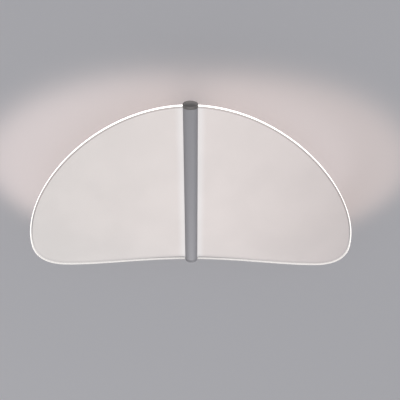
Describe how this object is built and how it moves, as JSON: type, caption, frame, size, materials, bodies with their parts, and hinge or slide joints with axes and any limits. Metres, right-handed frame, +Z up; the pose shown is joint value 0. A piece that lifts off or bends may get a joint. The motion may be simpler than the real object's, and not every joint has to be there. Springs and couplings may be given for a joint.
{
  "type": "led ceiling light",
  "caption": "Ceiling light with a slim slotted rod between edge-lit acrylic wings of arched outline, hung close under a narrow canopy on stems.",
  "frame": {"origin": "middle of the bracket's top face, where it bears on the ceiling, above the middle of the rod", "axes": "+Z up into the ceiling, rod along Y with its near end at -Y, wings out along +X and -X"},
  "size_m": [0.76, 0.418, 0.095],
  "materials": {
    "wing_acrylic": "clear acrylic sheet with a fine etched dot pattern and glowing edges",
    "rod_paint": "satin grey powder coat on an extruded tube",
    "cap_paint": "satin dark grey coat on a turned cap",
    "canopy_paint": "satin grey powder coat on folded sheet",
    "zinc_steel": "bright zinc plate",
    "brass": "plain brass",
    "rubber": "black rubber",
    "strip_plastic": "natural nylon strip",
    "adhesive": "grey thermal adhesive tape",
    "board_white": "white solder mask",
    "led_yellow": "warm white chip package",
    "terminal_plastic": "natural polyamide",
    "driver_plastic": "white polycarbonate housing",
    "driver_board": "green circuit board",
    "ferrite": "dark component bodies",
    "wire_brown": "brown insulation",
    "wire_blue": "blue insulation",
    "wire_earth": "green and yellow insulation",
    "wire_lead": "white silicone insulation"
  },
  "bodies": {
    "root": {"cable_bushing": "rubber", "canopy": "canopy_paint", "canopy_screws": "zinc_steel", "cap_screws": "zinc_steel", "ceiling_bracket": "zinc_steel", "clamp_strip_left": "strip_plastic", "clamp_strip_right": "strip_plastic", "driver_board": "driver_board", "driver_capacitors": "ferrite", "driver_lid": "driver_plastic", "driver_pads": "rubber", "driver_transformer": "ferrite", "driver_tray": "driver_plastic", "earth_lug_stem": "brass", "earth_lug_stud": "brass", "earth_nut": "zinc_steel", "earth_washer": "zinc_steel", "earth_wire": "wire_earth", "end_cap_far": "cap_paint", "end_cap_near": "cap_paint", "led_board_left": "board_white", "led_board_right": "board_white", "led_chips_left": "led_yellow", "led_chips_right": "led_yellow", "led_leads_left": "wire_lead", "led_leads_right": "wire_lead", "led_tape_left": "adhesive", "led_tape_right": "adhesive", "lock_nut_far": "zinc_steel", "lock_nut_near": "zinc_steel", "lock_washer_far": "zinc_steel", "lock_washer_near": "zinc_steel", "mains_wire_live": "wire_brown", "mains_wire_neutral": "wire_blue", "rod_tube": "rod_paint", "slide_nut_far": "zinc_steel", "slide_nut_near": "zinc_steel", "stem_sleeve_far": "rod_paint", "stem_sleeve_near": "rod_paint", "terminal_block": "terminal_plastic", "terminal_fixing_screw": "zinc_steel", "terminal_screws": "zinc_steel", "terminal_tubes": "brass", "threaded_nipple_far": "zinc_steel", "threaded_nipple_near": "zinc_steel", "wing_left": "wing_acrylic", "wing_right": "wing_acrylic", "wing_screws_left": "zinc_steel", "wing_screws_right": "zinc_steel"}
  },
  "joints": []
}
